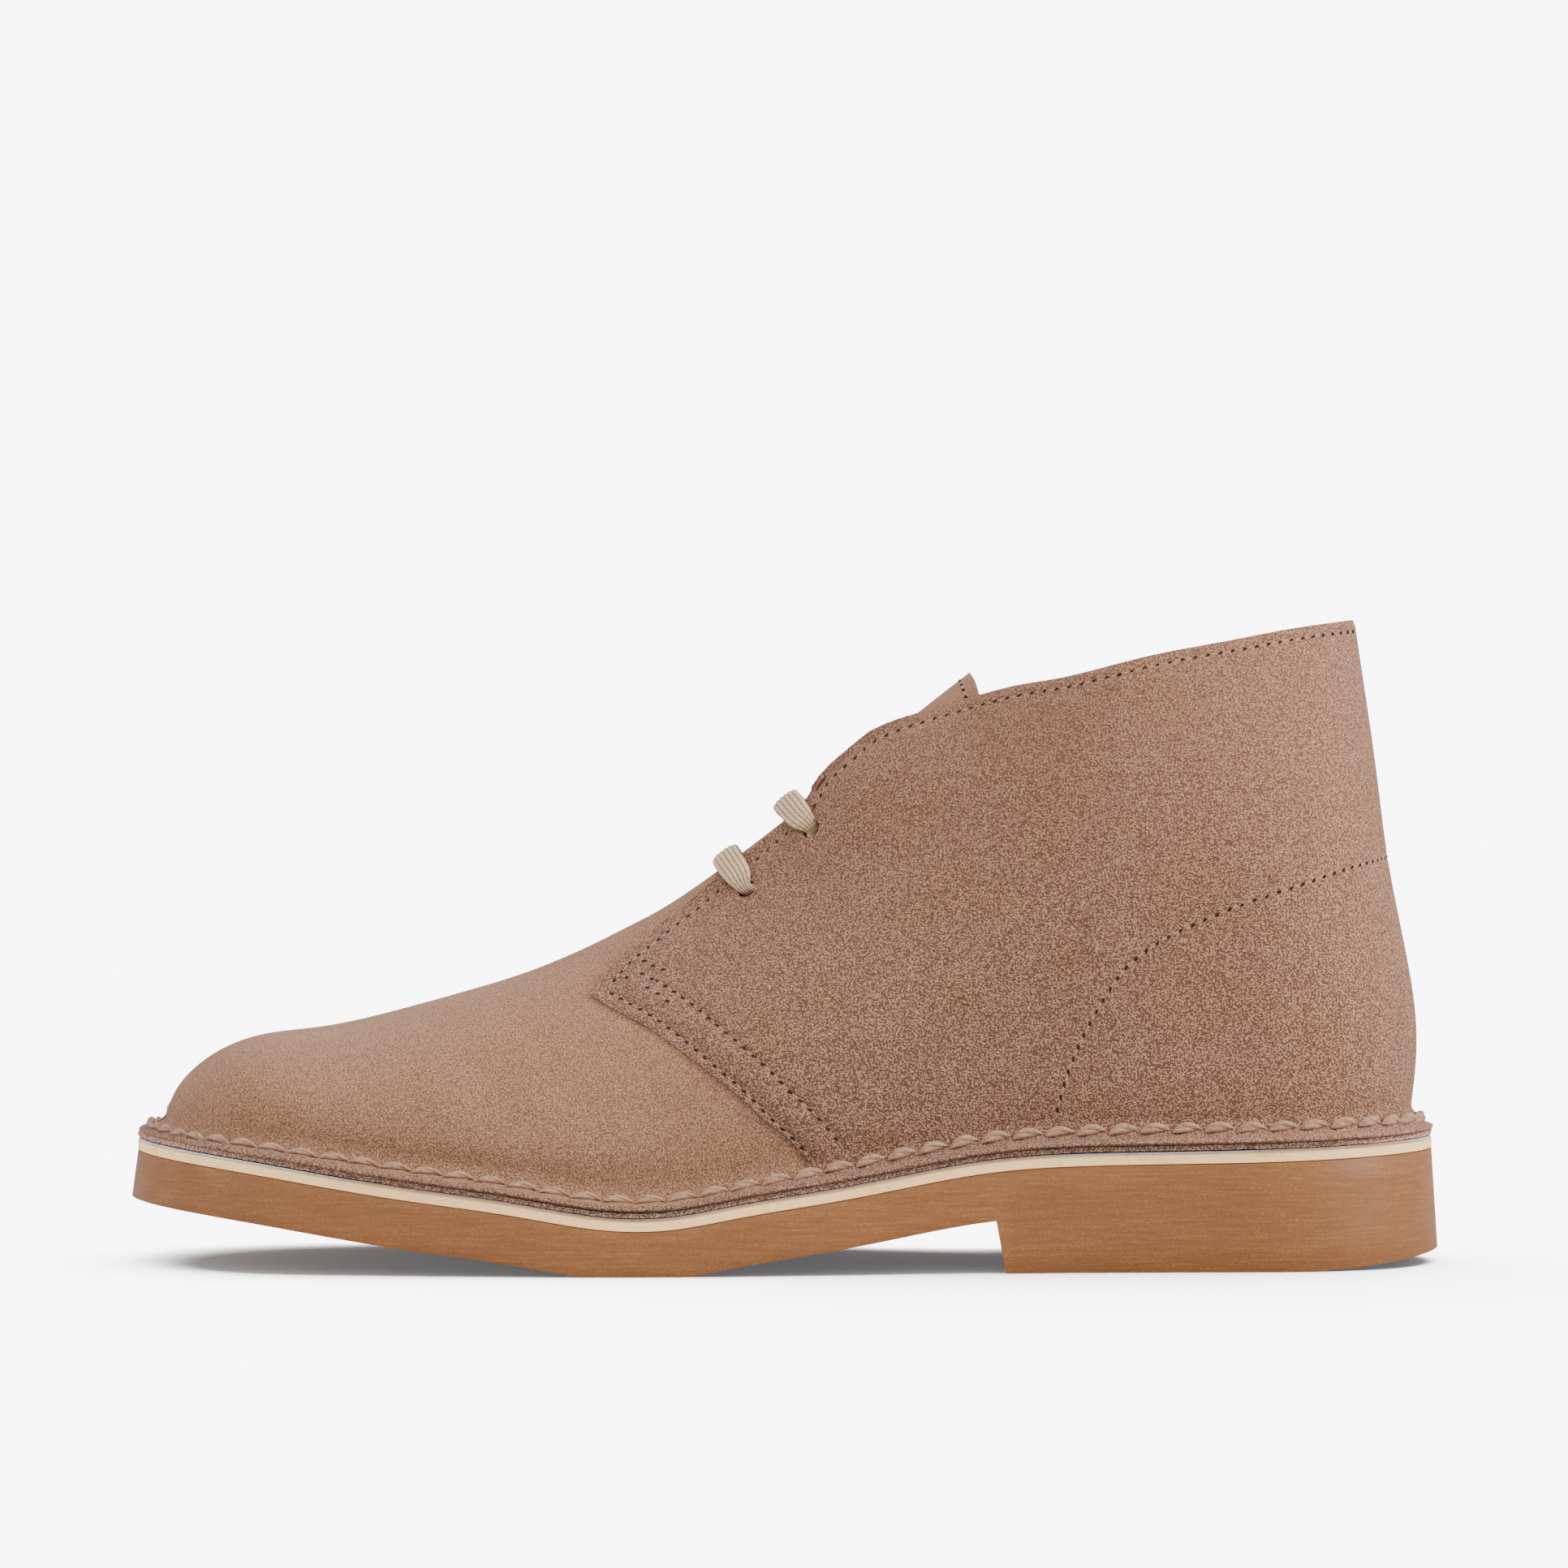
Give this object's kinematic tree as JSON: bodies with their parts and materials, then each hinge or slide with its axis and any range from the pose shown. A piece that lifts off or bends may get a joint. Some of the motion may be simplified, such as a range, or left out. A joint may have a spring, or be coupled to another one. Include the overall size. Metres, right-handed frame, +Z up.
{
  "type": "chukka boot",
  "caption": "Suede chukka boot with a stitched-down edge, flat lace through punched eyelets, and a gum rubber sole with a low heel.",
  "frame": {"origin": "on the floor, under the middle of the outsole's bounding box", "axes": "+X from toe to heel, -Y towards the outer side that the picture shows, +Z up"},
  "size_m": [0.303, 0.1098, 0.1488],
  "materials": {
    "outsole_rubber": "gum rubber, satin, fine scratches on its sides",
    "midsole_board": "matt cream board, cut edge",
    "filler_sheet": "matt pale sheet, cut edge",
    "welt_suede": "raw cut suede edge, fuzzy",
    "upper_suede": "suede, short nap with brushed marks",
    "insole_leather": "smooth sheepskin leather",
    "lace_cord": "flat braided cotton"
  },
  "bodies": {
    "root": {"outsole": "outsole_rubber", "midsole": "midsole_board", "filler": "filler_sheet", "welt": "welt_suede", "upper": "upper_suede", "tongue": "upper_suede", "insole": "insole_leather", "lace_bar_lower": "lace_cord", "lace_bar_upper": "lace_cord"}
  },
  "joints": []
}
